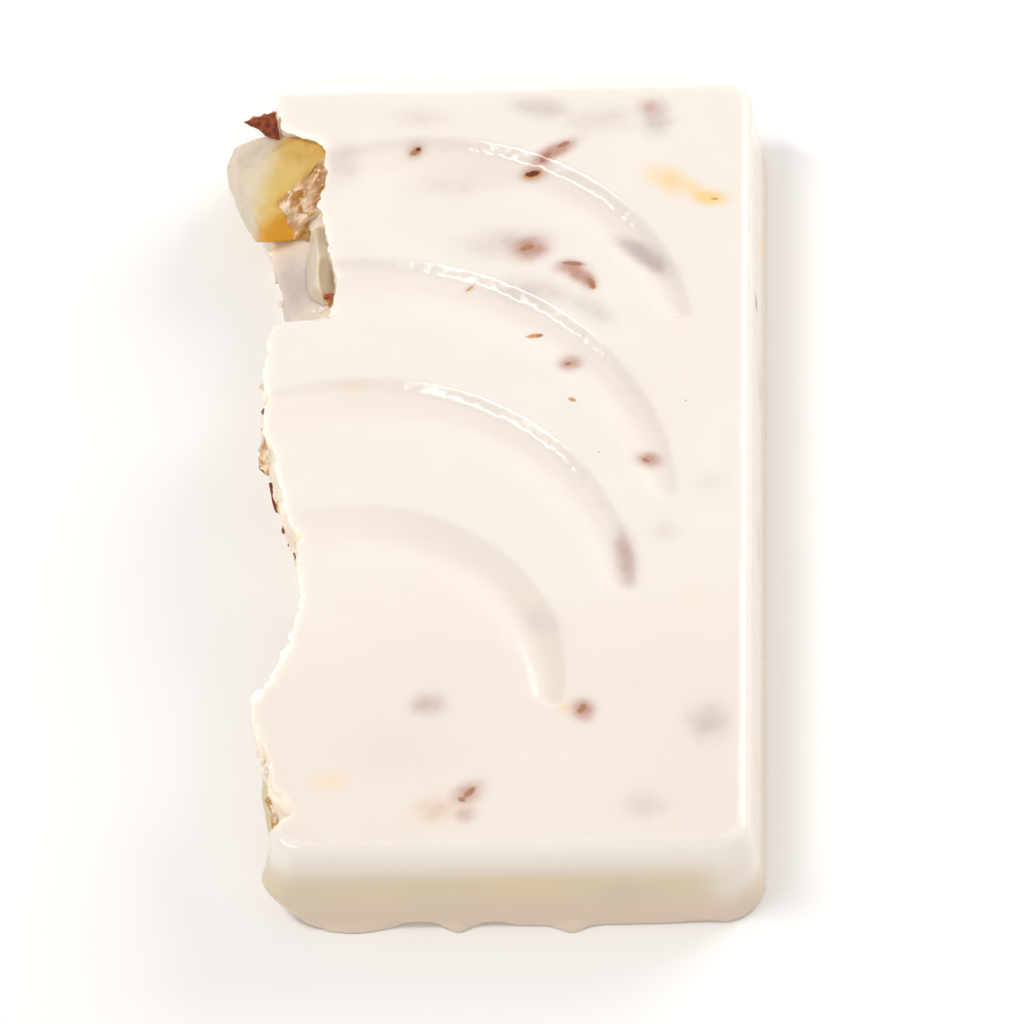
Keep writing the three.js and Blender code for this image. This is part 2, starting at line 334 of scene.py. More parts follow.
# the break, from the far end to the near end: y, then x at the face, at the shelf and at the foot
breakLook = {
    "stations": [
        [41.4, -21.3, -22.3, -22.2],
        [38.9, -21.0, -22.3, -22.3],
        [37.9, -20.6, -22.7, -22.5],
        [37.0, -19.4, -23.3, -22.8],
        [36.4, -18.0, -23.5, -22.8],
        [35.4, -17.3, -23.7, -22.8],
        [29.5, -17.2, -22.4, -21.9],
        [27, -16.6, -21.6, -21.2],
        [24, -16.3, -21.0, -20.7],
        [19.5, -15.9, -19.8, -20.4],
        [16.7, -16.5, -19.9, -20.6],
        [15.7, -20.6, -20.9, -20.8],
        [10, -21.7, -21.3, -20.9],
        [5, -21.2, -21.4, -20.7],
        [1, -20.5, -20.6, -19.6],
        [-4, -19.6, -19.1, -18.4],
        [-9.5, -18.0, -17.9, -17.2],
        [-15, -17.9, -17.3, -17.0],
        [-20.5, -19.2, -18.3, -17.6],
        [-25.5, -21.4, -20.1, -18.6],
        [-29, -20.6, -20.3, -18.8],
        [-33, -19.6, -19.6, -18.7],
        [-36.3, -18.4, -20.2, -18.2],
        [-38.3, -20.3, -20.9, -17.4],
        [-40, -20.6, -20.5, -16.6],
    ],
    "shelfHeight": 4.2,
    "shelfPower": 2.2,
    "hollow": (18.0, 37.0),  # where the chocolate stands steep behind the big nut, from y to y
    "hollowPower": 6.5,
    "footPower": 1.6,
    "lumps": 0.22,  # mm of unevenness, in broad lumps
    "flats": 0.2,  # flat faces that the break jumps between
    "smallFlats": 0.09,
    "crumbs": 0.12,  # fine crumbly patches between the smooth ones
    "ledge": (17.6, 28.5),  # a smooth ledge in the notch, from y to y
    "chips": 0.2,  # how far the face's edge is nibbled down
    "teeth": 0.08,
}


def smoothCurve(knots, samples):  # centripetal curve through the knots
    knots = np.array(knots, dtype=float)
    before = np.vstack([2 * knots[0] - knots[1], knots])
    whole = np.vstack([before, 2 * knots[-1] - knots[-2]])
    place = np.linspace(0, len(knots) - 1, samples)
    index = np.minimum(place.astype(int), len(knots) - 2)
    t = (place - index)[:, None]
    p0, p1, p2, p3 = (whole[index + k] for k in range(4))
    steps = ((p0, p1), (p1, p2), (p2, p3))
    d0, d1, d2 = (np.linalg.norm(b - a, axis=1)[:, None] ** 0.5 for a, b in steps)
    out1 = ((p1 - p0) / d0 - (p2 - p0) / (d0 + d1) + (p2 - p1) / d1) * d1
    out2 = ((p2 - p1) / d1 - (p3 - p1) / (d1 + d2) + (p3 - p2) / d2) * d1
    cube = 2 * p1 - 2 * p2 + out1 + out2
    square = -3 * p1 + 3 * p2 - 2 * out1 - out2
    return ((cube * t + square) * t + out1) * t + p1


def breakCurve(column, samples=2400):
    return smoothCurve([[row[column], row[0]] for row in breakLook["stations"]], samples)


edgeCurve, shelfCurve, footCurve = (breakCurve(column) for column in (1, 2, 3))
edgeRun = np.concatenate([[0], np.cumsum(np.linalg.norm(np.diff(edgeCurve, axis=0), axis=1))])
edgeLength = edgeRun[-1]
edgeRun /= edgeLength
edgeWay = np.gradient(edgeCurve, axis=0)
edgeWay /= np.linalg.norm(edgeWay, axis=1)[:, None]
lobeStart = bar["nearEnd"] + bar["lobeRound"]
nearJoin = np.interp(-lobeStart, -edgeCurve[:, 1], edgeRun)  # where the lobe's corner begins


def crumble(y, z):  # the unevenness that the solid model has too
    return (
        0.12 * np.sin(1.3 * y + 0.5 * z)
        + 0.06 * np.sin(3.7 * y - 1.1 * z + 1)
        + 0.08 * np.sin(0.8 * y + 1.9 * z + 2.4)
    )


def breakRun(t):  # share of the way along the break, from the far end
    cornerShare = bar["cornerRows"] / bar["rows"]
    return np.where(t > cornerShare, (1 - (t - cornerShare) / (1 - cornerShare)) * nearJoin, nearJoin)


def breakRoughness(along, y, z):
    spot = np.stack([np.zeros_like(y), along, z], axis=1)
    rough = breakLook["lumps"] * layeredNoise(spot, 4.2, 3, 2)
    bent = spot + 0.5 * softNoise(spot, 1.6, 9)[:, None]  # so that the flats get ragged borders
    rough += breakLook["flats"] * facets(bent, 2.6, 6)
    rough += breakLook["smallFlats"] * facets(bent, 1.1, 7)
    crumbly = smooth(softNoise(spot, 2.6, 14) * 1.6 + 0.3)
    rough += breakLook["crumbs"] * crumbly * layeredNoise(spot, 0.7, 5, 2)
    rough += breakLook["teeth"] * softNoise(spot, 0.7, 27) * smooth((z - 8.3) / 1)
    low, high = breakLook["ledge"]
    ledge = smooth((y - low) / 2) * smooth((high - y) / 2) * smooth((7.6 - z) / 1.2)
    return rough * (1 - 0.92 * ledge)


def breakPlace(t, height, inset, hold=1.0):  # the left side: t 0 at the near end, 1 at the far end
    cornerShare = bar["cornerRows"] / bar["rows"]
    run = breakRun(t)
    edge, shelf, foot = (
        np.stack([np.interp(run, edgeRun, curve[:, 0]), np.interp(run, edgeRun, curve[:, 1])], axis=1)
        for curve in (edgeCurve, shelfCurve, footCurve)
    )
    shelfHeight = breakLook["shelfHeight"]
    low, high = breakLook["hollow"]
    hollow = smooth((edge[:, 1] - low) / 2) * smooth((high - edge[:, 1]) / 1.2)
    power = mix(breakLook["shelfPower"], breakLook["hollowPower"], hollow)
    upper = (np.clip(bar["thickness"] - height, 0, None) / (bar["thickness"] - shelfHeight)) ** power
    lower = np.clip(1 - height / shelfHeight, 0, 1) ** breakLook["footPower"]
    above = (height >= shelfHeight)[:, None]
    place = np.where(above, mix(edge, shelf, upper[:, None]), mix(shelf, foot, lower[:, None]))
    x, y = place[:, 0], place[:, 1]
    lobe = smooth((bar["lobeEnd"] + 1.4 - y) / 1.8)  # 1 on the smooth lobe at the near corner
    farFade = smooth((bar["farEnd"] - y) / 2.5)
    x = x + crumble(y, height) * mix(1, 0.3, lobe) * mix(0.4, 1, farFade)
    wayX, wayY = (np.interp(run, edgeRun, edgeWay[:, axis]) for axis in (0, 1))
    rough = breakRoughness(run * edgeLength, y, height) * mix(1, 0.1, lobe) * farFade
    rough = rough * hold * mix(0.3, 1, np.abs(wayY))
    x = x + rough * wayY
    y = y - rough * wayX
    rimPart = inset - bar["draft"] * height
    x = x + rimPart * lobe
    y = mix(bar["nearEnd"] + inset, bar["farEnd"] - inset, (y - bar["nearEnd"]) / bar["length"])
    turn = np.clip(1 - t / cornerShare, 0, 1) * math.pi / 2  # round the near corner
    near = bar["nearEnd"] + inset
    x = x + bar["lobeRound"] * (1 - np.cos(turn))
    y = y - (y - near) * np.sin(turn)
    return x, y


def rightPlace(t, height, inset):  # the right side, with its two upright corners
    cornerShare = bar["cornerRows"] / bar["rows"]
    radius = mix(bar["cornerBase"], bar["cornerTop"], height / bar["thickness"])
    right = bar["rightEdge"] - inset
    near = bar["nearEnd"] + inset
    far = bar["farEnd"] - inset
    middle = np.clip((t - cornerShare) / (1 - 2 * cornerShare), 0, 1)
    y = mix(near + radius, far - radius, middle)
    nearTurn = np.clip(1 - t / cornerShare, 0, 1) * math.pi / 2
    farTurn = np.clip(1 - (1 - t) / cornerShare, 0, 1) * math.pi / 2
    x = right - radius * (2 - np.cos(nearTurn) - np.cos(farTurn))
    return x, y - radius * np.sin(nearTurn) + radius * np.sin(farTurn)


# the wave relief: four crescents, each an arc from a blunt tip on the right to the break
relief = {
    "depth": 0.62,
    "tipWidth": 2.6,
    "width": 7.6,
    "widening": 4.6,
    "flat": 0.42,  # share of the width before the floor rises again
    # lip and foot: how far the bends above and below the wall are eased, as a share of its width
    "crescents": [
        {"centre": (-8.7, 11.9), "radius": 23.2, "tip": 7, "wall": 1.15,
         "lip": 0.2, "foot": 0.24, "deep": 1.15},
        {"centre": (-13.9, -4.9), "radius": 27.1, "tip": 2, "wall": 1.05,
         "lip": 0.06, "foot": 0.28, "deep": 1.0},
        {"centre": (-13.5, -13.8), "radius": 23.3, "tip": 0.5, "wall": 1.1,
         "lip": 0.06, "foot": 0.28, "deep": 1.0},
        {"centre": (-13.9, -21.7), "radius": 18.0, "tip": -10.5, "wall": 2.3,
         "lip": 0.1, "foot": 0.6, "deep": 1.2},
    ],
    "ripple": 0.038,  # unevenness that breaks up the gleam along the walls
    "waviness": 0.03,
}


def crescentParts(crescent, x, y):  # quarter turns from the tip, mm in from the outer edge, width there
    dx = x - crescent["centre"][0]
    dy = y - crescent["centre"][1]
    quarter = (np.degrees(np.arctan2(dy, dx)) - crescent["tip"]) / 90
    inward = crescent["radius"] - np.hypot(dx, dy)
    broad = relief["tipWidth"] + relief["widening"] * np.clip(quarter, 0, None) ** 0.55
    tipRound = np.sqrt(1 - (1 - np.clip(quarter / 0.05, 0, 1)) ** 2)
    return quarter, inward, np.minimum(broad, relief["width"]) * np.maximum(tipRound, 0.12)


def bend(t, half):  # 0 before a bend and t after it
    return np.where(np.abs(t) < half, (t + half) ** 2 / (4 * half), np.clip(t, 0, None))


def reliefParts(x, y):  # how far the face drops, and how much painted groove shade each place gets
    drop = np.zeros_like(x)
    grooveShade = np.zeros_like(x)
    spot = np.stack([x, y, np.zeros_like(x)], axis=1)
    ripple = relief["ripple"] * (softNoise(spot, 0.7, 51) + 0.6 * softNoise(spot, 0.4, 53))
    for crescent in relief["crescents"]:
        quarter, inward, width = crescentParts(crescent, x, y)
        strength = mix(0.7, 1, smooth(quarter / 0.4)) * mix(1, 0.5, smooth((quarter - 0.7) / 0.6))
        strength = strength * smooth(quarter / 0.035) * (inward < width) * crescent["deep"]
        wall = np.minimum(crescent["wall"], 0.4 * width)
        down = inward / wall
        steep = bend(down, crescent["lip"]) - bend(down - 1, crescent["foot"])
        rise = smooth((inward / width - relief["flat"]) / (1 - relief["flat"]))
        uneven = ripple * np.exp(-(((inward - 0.9 * wall) / 0.8) ** 2)) * smooth(inward / 0.3)
        drop = np.maximum(drop, strength * (relief["depth"] * steep * (1 - rise) + uneven))
        # painted shade: darker in each groove, fading out across its floor
        floor = 1 - smooth((inward / width - 0.3) / 0.45)
        grooveShade = np.maximum(grooveShade, strength * smooth(inward / 0.4) * floor)
    return drop, grooveShade


def reliefDrop(x, y):
    return reliefParts(x, y)[0]


# beads and chips along the near base edge: centre x, half width, move in
baseChips = [
    (-13.5, 2.4, -0.5), (-8.2, 1.5, 1.0), (-5.0, 1.1, -0.6),
    (-2.2, 1.4, 0.5), (4.2, 1.3, -0.8), (15.0, 2.0, 0.2),
]
chipHeight = 0.9


def baseChip(x, height):
    moved = sum(depth * np.exp(-(((x - centre) / half) ** 2)) for centre, half, depth in baseChips)
    return moved * (1 - smooth(height / chipHeight))


def wallLevels():  # height and inset of each loop, from the face down to the base
    heights = []
    insets = []
    for i in range(bar["rimLoops"] + 1):
        turn = math.pi / 2 * i / bar["rimLoops"]
        height = bar["thickness"] - bar["rim"] * (1 - math.cos(turn))
        heights.append(height)
        insets.append(bar["draft"] * height + bar["rim"] * (1 - math.sin(turn)))
    for i in range(1, bar["wallLoops"] + 1):
        height = mix(bar["thickness"] - bar["rim"], bar["baseRound"], i / bar["wallLoops"])
        heights.append(height)
        insets.append(bar["draft"] * height)
    for i in range(1, bar["baseLoops"] + 1):
        turn = math.pi / 2 * i / bar["baseLoops"]
        height = bar["baseRound"] * (1 - math.sin(turn))
        heights.append(height)
        insets.append(bar["draft"] * height + bar["baseRound"] * (1 - math.cos(turn)))
    return np.array(heights), np.array(insets)


levelHeights, levelInsets = wallLevels()
lastLevel = len(levelHeights) - 1
backLevel = lastLevel + 1


def edgeTop(t):  # height of the broken edge of the face, with the relief and small nibbles
    full = np.full_like(t, bar["thickness"])
    x, y = breakPlace(t, full, np.full_like(t, levelInsets[0]))
    spot = np.stack([np.zeros_like(y), breakRun(t) * edgeLength, np.zeros_like(y)], axis=1)
    nibble = np.clip(softNoise(spot, 1.3, 5) - 0.15, 0, 1)
    nibble += 0.5 * np.clip(softNoise(spot, 0.5, 8) - 0.1, 0, 1)
    nibble *= smooth((y - bar["lobeEnd"]) / 2) * smooth((bar["farEnd"] - 2 - y) / 1)
    return bar["thickness"] - reliefDrop(x, y), breakLook["chips"] * nibble


def shapeBar(s, t, level):  # grid place and loop number to bar millimetres
    index = np.clip(level, 0, lastLevel)
    height = np.interp(index, np.arange(lastLevel + 1), levelHeights)
    inset = np.interp(index, np.arange(lastLevel + 1), levelInsets)
    inset = np.where(level > lastLevel, levelInsets[-1] + 0.3, inset)
    top, nibble = edgeTop(t)
    onBreak = s < 1e-6
    leftHeight = height * np.where(onBreak | (level < 0.5), (top - nibble) / bar["thickness"], 1)
    leftX, leftY = breakPlace(t, leftHeight, inset, np.exp(-40 * s))
    rightX, rightY = rightPlace(t, height, inset)
    x = mix(leftX, rightX, s)
    y = mix(leftY, rightY, s)
    y = y + np.where(t < 1e-6, baseChip(x, height), 0)
    onFace = level < 0.5
    spot = np.stack([x, y, np.zeros_like(x)], axis=1)
    fromEdge = x - leftX
    face = bar["thickness"] - reliefDrop(x, y) - nibble * np.exp(-fromEdge / 0.45)
    border = smooth(fromEdge / 4) * smooth((rightX - x) / 4) * smooth(np.minimum(t, 1 - t) / 0.05)
    face = face - relief["waviness"] * border * (1 + softNoise(spot, 9, 12))
    fromRim = np.minimum(np.minimum(s, 1 - s), np.minimum(t, 1 - t))
    back = 0.12 * smooth(fromRim / 0.1) * (1 + softNoise(spot, 7, 30))
    z = np.where(onFace, face, np.where(onBreak, leftHeight, height))
    z = np.where(level > lastLevel, back, z)
    return np.stack([x, y, z], axis=1)


# bits of almond and skin that show through the face: x, y, half length, half width, turn, strength
# dark, skin and gold have edges, softSkin and softGold blur into the chocolate,
# shade is a nut deeper down
faceSpots = {
    "dark": [
        (-9.2, 34, 0.34, 0.2, 35), (0.5, 31.3, 0.85, 0.42, 18),
    ],
    "skin": [
        (-9.4, 33.8, 0.7, 0.42, 35), (3.1, 33.8, 0.85, 0.3, 30), (1.6, 32.6, 0.75, 0.36, 38),
        (1.35, 13.9, 0.42, 0.2, 20), (3.7, 10.7, 0.4, 0.26, 35), (10.3, 0.45, 0.46, 0.26, -20),
        (5.3, -25.1, 0.7, 0.4, 60), (13.6, 6.3, 0.15, 0.13, 0), (0.2, 22.8, 0.75, 0.4, 20),
        (4.1, 21, 1.35, 0.3, -7), (5.6, 18.9, 0.8, 0.4, -62), (-3.7, -33.3, 0.95, 0.34, 48),
        (-4.3, -34, 0.42, 0.3, -30),
    ],
    "gold": [
        (0.5, 31.2, 1.05, 0.55, 18), (-4.6, 19, 0.55, 0.16, 40), (0.9, 13.8, 0.95, 0.34, 14),
        (4.15, 6.65, 0.5, 0.26, -30), (6.4, 1.1, 0.15, 0.12, 0), (5.7, 18.5, 0.45, 0.3, -40),
        (15.9, 27.6, 0.5, 0.16, -8),
    ],
    "softSkin": [
        (-9.4, 33.8, 1.1, 0.88, 35, 0.62), (2.2, 33, 2.53, 0.83, 32, 0.94),
        (0.6, 31.3, 1.43, 0.99, 18, 0.75), (-4.6, 19, 0.77, 0.44, 40, 0.38),
        (3.9, 10.8, 1.21, 1.04, 20, 0.78), (10.5, 0.5, 1.26, 0.99, -10, 0.78),
        (5.4, -25.2, 1.26, 1.1, 110, 0.88), (0.4, 22.7, 1.87, 1.49, 10, 0.9),
        (3.9, 20.6, 1.49, 0.94, -8, 0.88), (5.2, 19.4, 1.43, 0.83, -62, 0.88),
        (4.5, 20, 1.7, 1, -42, 0.85), (-4, -33.5, 1.87, 1.21, 35, 0.68),
        (-4, -35.4, 1.21, 1.21, 0, 0.5), (-6.4, -35, 1.98, 1.65, 0, 0.38),
        (10.5, 37.7, 1.43, 1.21, 0, 0.53), (-7.2, -24.4, 1.54, 1.21, 0, 0.45),
        (-10, -29.6, 5, 3.2, 0, 0.1), (10.8, 20.9, 1.1, 0.55, -42, 0.38),
        (8.7, -9.6, 0.99, 3.19, 8, 0.47),
    ],
    "softGold": [
        (3.9, -25, 0.7, 0.5, 0, 0.5), (-6.6, -35, 2, 1.7, 0, 0.34),
        (12.2, 29.7, 2.9, 1.6, -30, 0.62), (15.4, 27.8, 1.8, 0.9, -12, 0.95),
        (13.9, 28.8, 1.7, 1, -35, 0.62), (-15, -31.9, 1.7, 1.2, 0, 0.4),
        (14.4, -13.8, 1.9, 1.5, 0, 0.2), (-14, 8.7, 1.8, 0.9, 0, 0.25),
    ],
    "shade": [
        (10.9, 36.2, 1.7, 2.2, 0, 0.5), (-7.2, -24.4, 2, 1.6, 0, 0.4), (1.2, 37.8, 3, 1.4, -8, 0.5),
        # the broad patches at (6.4, 36.4), (-6, 30) and (-10, -28.8) darken the face near its far and
        # near ends
        (6.4, 36.4, 5, 2, 0, 0.34), (-6, 30, 6, 2.4, 10, 0.32), (-10, -28.8, 5.6, 3.6, 0, 0.13),
        (9.9, 22.2, 3.2, 1.1, -42, 0.85), (-1.9, 23.4, 4.5, 2, 0, 0.42),
        (0.9, 18.2, 4.2, 1.6, -14, 0.45), (5.6, 16.2, 3, 1.4, -38, 0.4),
        (-15.6, 32.6, 2, 2.6, 0, 0.42), (-9, 37, 3, 1.4, 0, 0.3), (15.6, -2.2, 1.9, 1.7, 0, 0.22),
        (11.9, -7.2, 1.9, 1.8, 0, 0.25), (8.7, -9.6, 1.2, 3.4, 8, 0.5),
        (1.9, -16, 2.6, 1.6, -40, 0.3), (15.6, -26.6, 2.2, 2.6, 0, 0.5),
        (10.6, -34.8, 2.2, 1.8, 0, 0.36),
    ],
}
# and through the walls and the notch: kind, x, y, z, half length, half width, turn, strength
spots = [
    # the first spot darkens the smooth ledge in the notch
    ("shade", -20, 23, 4.6, 4.6, 4.2, 0, 0.62),
    ("softGold", 19.6, -28, 5.2, 4.2, 1.6, 90, 0.35),
    ("softSkin", 19.6, -5, 4.6, 3, 1.3, 90, 0.35),
    ("shade", 19.5, 12, 4, 3, 1.8, 90, 0.4),
    ("softGold", 19.5, 27, 3.6, 2.6, 1.6, 90, 0.4),
    ("skin", 19.3, 19, 6.3, 0.7, 0.45, 90, 1),
    ("softSkin", 19.3, 19, 6.3, 1.2, 0.9, 90, 0.6),
    ("softGold", 1, -39.2, 4.6, 6, 1.9, 0, 0.26),
    ("softGold", -12, -39.2, 3.6, 3.6, 1.8, 0, 0.22),
    ("shade", 9, -39.4, 4, 3.4, 1.8, 0, 0.24),
    ("softGold", -6, 40.8, 4.4, 3.2, 1.8, 0, 0.35),
    ("softSkin", 6.5, 40.7, 5, 1.5, 1, 0, 0.5),
    ("shade", 12.5, 40.8, 3.6, 3, 1.6, 0, 0.5),
    ("skin", -13, 40.5, 5.6, 0.6, 0.35, 0, 1),
]
faceHeight = bar["thickness"]
for kind, places in faceSpots.items():
    for x, y, long, wide, turn, *strength in places:
        spots.append((kind, x, y, faceHeight, long, wide, turn, *(strength or [1])))
crispKinds = ("dark", "skin", "gold")
softKinds = ("softSkin", "softGold", "shade")


def addBackSpots():  # the poured back shows the same mixture, larger because nuts sank towards the face
    rng = random.Random(41)
    kinds = ["skin", "gold", "softSkin", "softGold", "softGold", "shade", "shade"]
    sizes = {"skin": 0.7, "gold": 0.7, "softSkin": 1.5, "softGold": 2.4, "shade": 2.8}
    for i in range(46):
        kind = kinds[i % len(kinds)]
        size = sizes[kind] * rng.uniform(0.6, 1.3)
        wide = size * rng.uniform(0.35, 0.8)
        x = rng.uniform(-16, 18)
        y = rng.uniform(-37, 39)
        turn = rng.uniform(0, 180)
        strength = 1 if kind in crispKinds else rng.uniform(0.3, 0.6)
        spots.append((kind, x, y, 0, size, wide, turn, strength))
        if kind == "skin":
            spots.append(("softSkin", x, y, 0, 1.7 * size, 1.9 * wide, turn, 0.6))


def paintSpots(piece, points):
    hard = {name: np.full(len(points), -1.0) for name in crispKinds}
    soft = {name: np.zeros(len(points)) for name in softKinds}
    for kind, x, y, z, long, wide, turn, strength in spots:
        away = points - [x, y, z]
        close = np.linalg.norm(away, axis=1) < 3.5 * long
        away = away[close]
        a = math.radians(turn)
        along = (away[:, 0] * math.cos(a) + away[:, 1] * math.sin(a)) / long
        across = (away[:, 1] * math.cos(a) - away[:, 0] * math.sin(a)) / wide
        deep = np.clip(np.abs(away[:, 2]) - (0.9 if z == faceHeight else 0), 0, None) / wide
        reach = np.sqrt(along ** 2 + across ** 2 + deep ** 2)
        if kind in hard:
            hard[kind][close] = np.maximum(hard[kind][close], 1 - reach)
        else:
            soft[kind][close] = np.maximum(soft[kind][close], strength * np.exp(-1.1 * reach ** 2.2))
    for name, values in {**hard, **soft}.items():
        paint(piece, name, values)


def selectFaces(piece, chosen):
    makeActive(piece)
    for part in (piece.data.vertices, piece.data.edges):
        part.foreach_set("select", np.zeros(len(part), dtype=bool))
    piece.data.polygons.foreach_set("select", chosen)
    bpy.ops.object.mode_set(mode="EDIT")
    bpy.ops.mesh.select_mode(type="FACE")


def faceMiddles(piece):
    flat = np.empty(len(piece.data.polygons) * 3)
    piece.data.polygons.foreach_get("center", flat)
    return flat.reshape(-1, 3)


def gridParts(points):
    level = np.where(points[:, 2] > -0.5, np.clip(-points[:, 2], 0, None), -points[:, 2])
    return np.clip(points[:, 0] + 0.5, 0, 1), np.clip(points[:, 1] + 0.5, 0, 1), level


def buildBar():
    deselectAll()
    bpy.ops.mesh.primitive_grid_add(x_subdivisions=bar["columns"], y_subdivisions=bar["rows"], size=1)
    piece = nameIt("whiteChocolate")
    bpy.ops.object.mode_set(mode="EDIT")
    bpy.ops.mesh.select_mode(type="EDGE")
    bpy.ops.mesh.select_all(action="DESELECT")
    bpy.ops.mesh.select_non_manifold()
    for loop in range(lastLevel):  # the walls, one loop after another
        bpy.ops.mesh.extrude_region_move(TRANSFORM_OT_translate={"value": (0, 0, -1)})
    bpy.ops.mesh.select_all(action="DESELECT")
    bpy.ops.mesh.primitive_grid_add(  # the back
        x_subdivisions=bar["backColumns"], y_subdivisions=bar["backRows"],
        size=0.955, location=(0, 0, -backLevel))
    bpy.ops.mesh.flip_normals()
    bpy.ops.mesh.select_all(action="DESELECT")
    bpy.ops.mesh.select_non_manifold()
    bpy.ops.mesh.bridge_edge_loops()
    bpy.ops.object.mode_set(mode="OBJECT")
    # finer faces on the break, on the relief's steep walls and round the sharp flecks
    middles = faceMiddles(piece)
    s, t, level = gridParts(middles)
    place = shapeBar(s, t, level)
    chosen = (middles[:, 0] < -0.4999) & (level < lastLevel)
    onFace = level < 0.01
    for crescent in relief["crescents"]:
        quarter, inward, width = crescentParts(crescent, place[:, 0], place[:, 1])
        chosen |= onFace & (quarter > -0.02) & (inward > -0.3) & (inward < np.minimum(1.5, 0.7 * width))
    for kind, x, y, z, long, wide, turn, strength in spots:
        if kind in crispKinds:
            chosen |= onFace & (np.hypot(place[:, 0] - x, place[:, 1] - y) < long + 0.4)
    selectFaces(piece, chosen)
    bpy.ops.mesh.subdivide(number_cuts=1)
    bpy.ops.object.mode_set(mode="OBJECT")
    s, t, level = gridParts(readPoints(piece))
    points = shapeBar(s, t, level)
    writePoints(piece, toFrame(points))
    turnOutwards(piece)
    # painted shade on the walls, weaker on the right wall, which faces the window lamp
    onRight = smooth((points[:, 0] - 14) / 4.5)
    wall = smooth((level - 7) / 11) * (level > 0)
    paint(piece, "wall", wall * (1 - 0.8 * onRight))
    # painted bounce light: lighter, less yellow low on the walls
    paint(piece, "lowWallBounceLight", wall * smooth((5 - points[:, 2]) / 3.5))
    drop, grooveShade = reliefParts(points[:, 0], points[:, 1])
    nearHalf = smooth((-6 - points[:, 1]) / 18)  # darker towards the near end, added into the painted groove shade
    # painted shade in the grooves, plus the darkening towards the near end
    paint(piece, "grooveShade", (grooveShade + 1.1 * nearHalf) * (level < 0.5))
    paint(piece, "fresh", (s < 1e-6) * (level > 0.4) * smooth((points[:, 1] - bar["lobeEnd"]) / 1.5))
    paint(piece, "back", (level > lastLevel - 0.5) * 1.0)
    paintSpots(piece, points)
    makeActive(piece)
    bpy.ops.object.shade_smooth_by_angle(angle=math.radians(60))
    return piece


# finishes: tints are screen colours
chocolateFinish = {
    "cream": tint(247, 240, 232),
    "creamDeep": tint(241, 231, 221),
    # painted shade in the grooves, also laid towards the near end
    "grooveShade": tint(226, 208, 190),
    # painted shade on the walls
    "wall": tint(222, 207, 178),
    # painted bounce light low on the walls
    "lowWallBounceLight": tint(222, 204, 184),
    "fresh": tint(243, 226, 204),
    "freshPale": tint(250, 239, 224),
    "dark": tint(112, 46, 18),
    "skin": tint(158, 104, 76),
    "skinLight": tint(190, 142, 114),
    "gold": tint(206, 152, 92),
    "softSkin": tint(196, 152, 136),
    "softGold": tint(250, 214, 150),
    "shade": tint(196, 182, 178),
    "gloss": 0.17,
    "scatter": 0.95,  # mm that red light runs below the surface
}


def buildChocolateMaterial():
    look = chocolateFinish
    material, tree, shader = newMaterial("creamyWhiteChocolate")
    coarse, fine = addGrain(tree, 11.0, 0.35)
    speck, micro = addGrain(tree, 1.6, 0.14, 4.0)
    patch, ripple = addGrain(tree, 3.2, 0.8)
    broad, narrow = addGrain(tree, 1.5, 0.4, 2.0)
    fresh = readPaint(tree, "fresh")
    colour = addMix(tree, coarse, look["creamDeep"], look["cream"])
    # painted shade in the grooves and towards the near end
    grooveShade = addMaths(tree, "MULTIPLY", readPaint(tree, "grooveShade"), 0.2)
    colour = addMix(tree, grooveShade, colour, look["grooveShade"])
    # painted shade on the walls, weaker on the right
    colour = addMix(tree, readPaint(tree, "wall"), colour, look["wall"])
    # painted bounce light low on the walls
    colour = addMix(tree, readPaint(tree, "lowWallBounceLight"), colour, look["lowWallBounceLight"])
    colour = addMix(tree, fresh, colour, addMix(tree, speck, look["fresh"], look["freshPale"]))
    for name in ("shade", "softGold", "softSkin"):
        colour = addPatch(tree, colour, name, look[name], broad, 0.46, 0.46, 0.9)
    skin = addMix(tree, fine, look["skinLight"], look["skin"])
    for name, tone in (("gold", look["gold"]), ("skin", skin), ("dark", look["dark"])):
        colour = addPatch(tree, colour, name, tone, narrow, 0.26, 0.24, 2.2)
    tree.links.new(colour, shader.inputs["Base Color"])
    rough = addSpread(tree, speck, look["gloss"] - 0.04, look["gloss"] + 0.06)
    rough = addMaths(tree, "ADD", rough, addMaths(tree, "MULTIPLY", fresh, 0.32))
    rough = addMaths(tree, "ADD", rough, addMaths(tree, "MULTIPLY", readPaint(tree, "back"), 0.12))
    tree.links.new(rough, shader.inputs["Roughness"])
    shader.inputs["IOR"].default_value = 1.46
    setScatter(shader, 1.0, (1.0, 0.88, 0.74), look["scatter"])
    ripple = addMaths(tree, "MULTIPLY", ripple, 0.16)
    height = addMaths(tree, "ADD", ripple, addMaths(tree, "MULTIPLY", fine, 0.06))
    crumbly = addMaths(tree, "MULTIPLY", addRange(tree, patch, 0.45, 0.6), fresh)
    broken = addMaths(tree, "MULTIPLY", addMaths(tree, "ADD", fine, micro), crumbly)
    addBump(tree, shader, addMaths(tree, "ADD", height, broken), 0.05, 0.8)
    return material


addBackSpots()
creamyWhiteChocolate = buildChocolateMaterial()
whiteChocolate = buildBar()
hand(whiteChocolate, creamyWhiteChocolate, "white_chocolate", "chocolate")
print("bar:", len(whiteChocolate.data.polygons), "faces")

